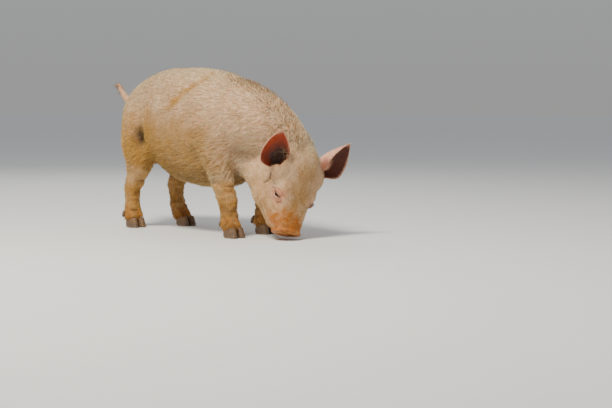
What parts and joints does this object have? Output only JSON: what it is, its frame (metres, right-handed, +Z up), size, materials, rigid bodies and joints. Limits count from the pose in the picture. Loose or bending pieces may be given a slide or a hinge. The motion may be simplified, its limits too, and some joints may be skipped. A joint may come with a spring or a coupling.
{
  "type": "pig",
  "caption": "Young domestic pig standing on all four feet with its head lowered to graze, its nose at the ground and its ears held up and out.",
  "frame": {"origin": "middle of the underside of the object's box, at the level of the soles", "axes": "+Z up; the pig faces -Y, with its left side at +X"},
  "size_m": [0.3474, 0.8506, 0.4949],
  "materials": {
    "skin": "matte skin under a sparse coat of cream bristles",
    "ear": "thin satin skin, pink outside and dark red-brown inside",
    "snout": "bare damp skin, soiled with orange-brown earth",
    "hoof": "dull dark horn",
    "eye": "wet gloss"
  },
  "bodies": {
    "root": {"claw_fore_left_inner": "hoof", "claw_fore_left_outer": "hoof", "claw_fore_right_inner": "hoof", "claw_fore_right_outer": "hoof", "claw_hind_left_inner": "hoof", "claw_hind_left_outer": "hoof", "claw_hind_right_inner": "hoof", "claw_hind_right_outer": "hoof", "dewclaw_fore_left_inner": "hoof", "dewclaw_fore_left_outer": "hoof", "dewclaw_fore_right_inner": "hoof", "dewclaw_fore_right_outer": "hoof", "dewclaw_hind_left_inner": "hoof", "dewclaw_hind_left_outer": "hoof", "dewclaw_hind_right_inner": "hoof", "dewclaw_hind_right_outer": "hoof", "ear_left": "ear", "ear_right": "ear", "eye_left": "eye", "eye_right": "eye", "forearm_left": "skin", "forearm_right": "skin", "forefoot_left": "skin", "forefoot_right": "skin", "ham_left": "skin", "ham_right": "skin", "head": "skin", "hindfoot_left": "skin", "hindfoot_right": "skin", "lower_jaw": "skin", "neck": "skin", "shank_left": "skin", "shank_right": "skin", "shoulder_left": "skin", "shoulder_right": "skin", "snout": "snout", "tail": "skin", "trunk": "skin"}
  },
  "joints": []
}
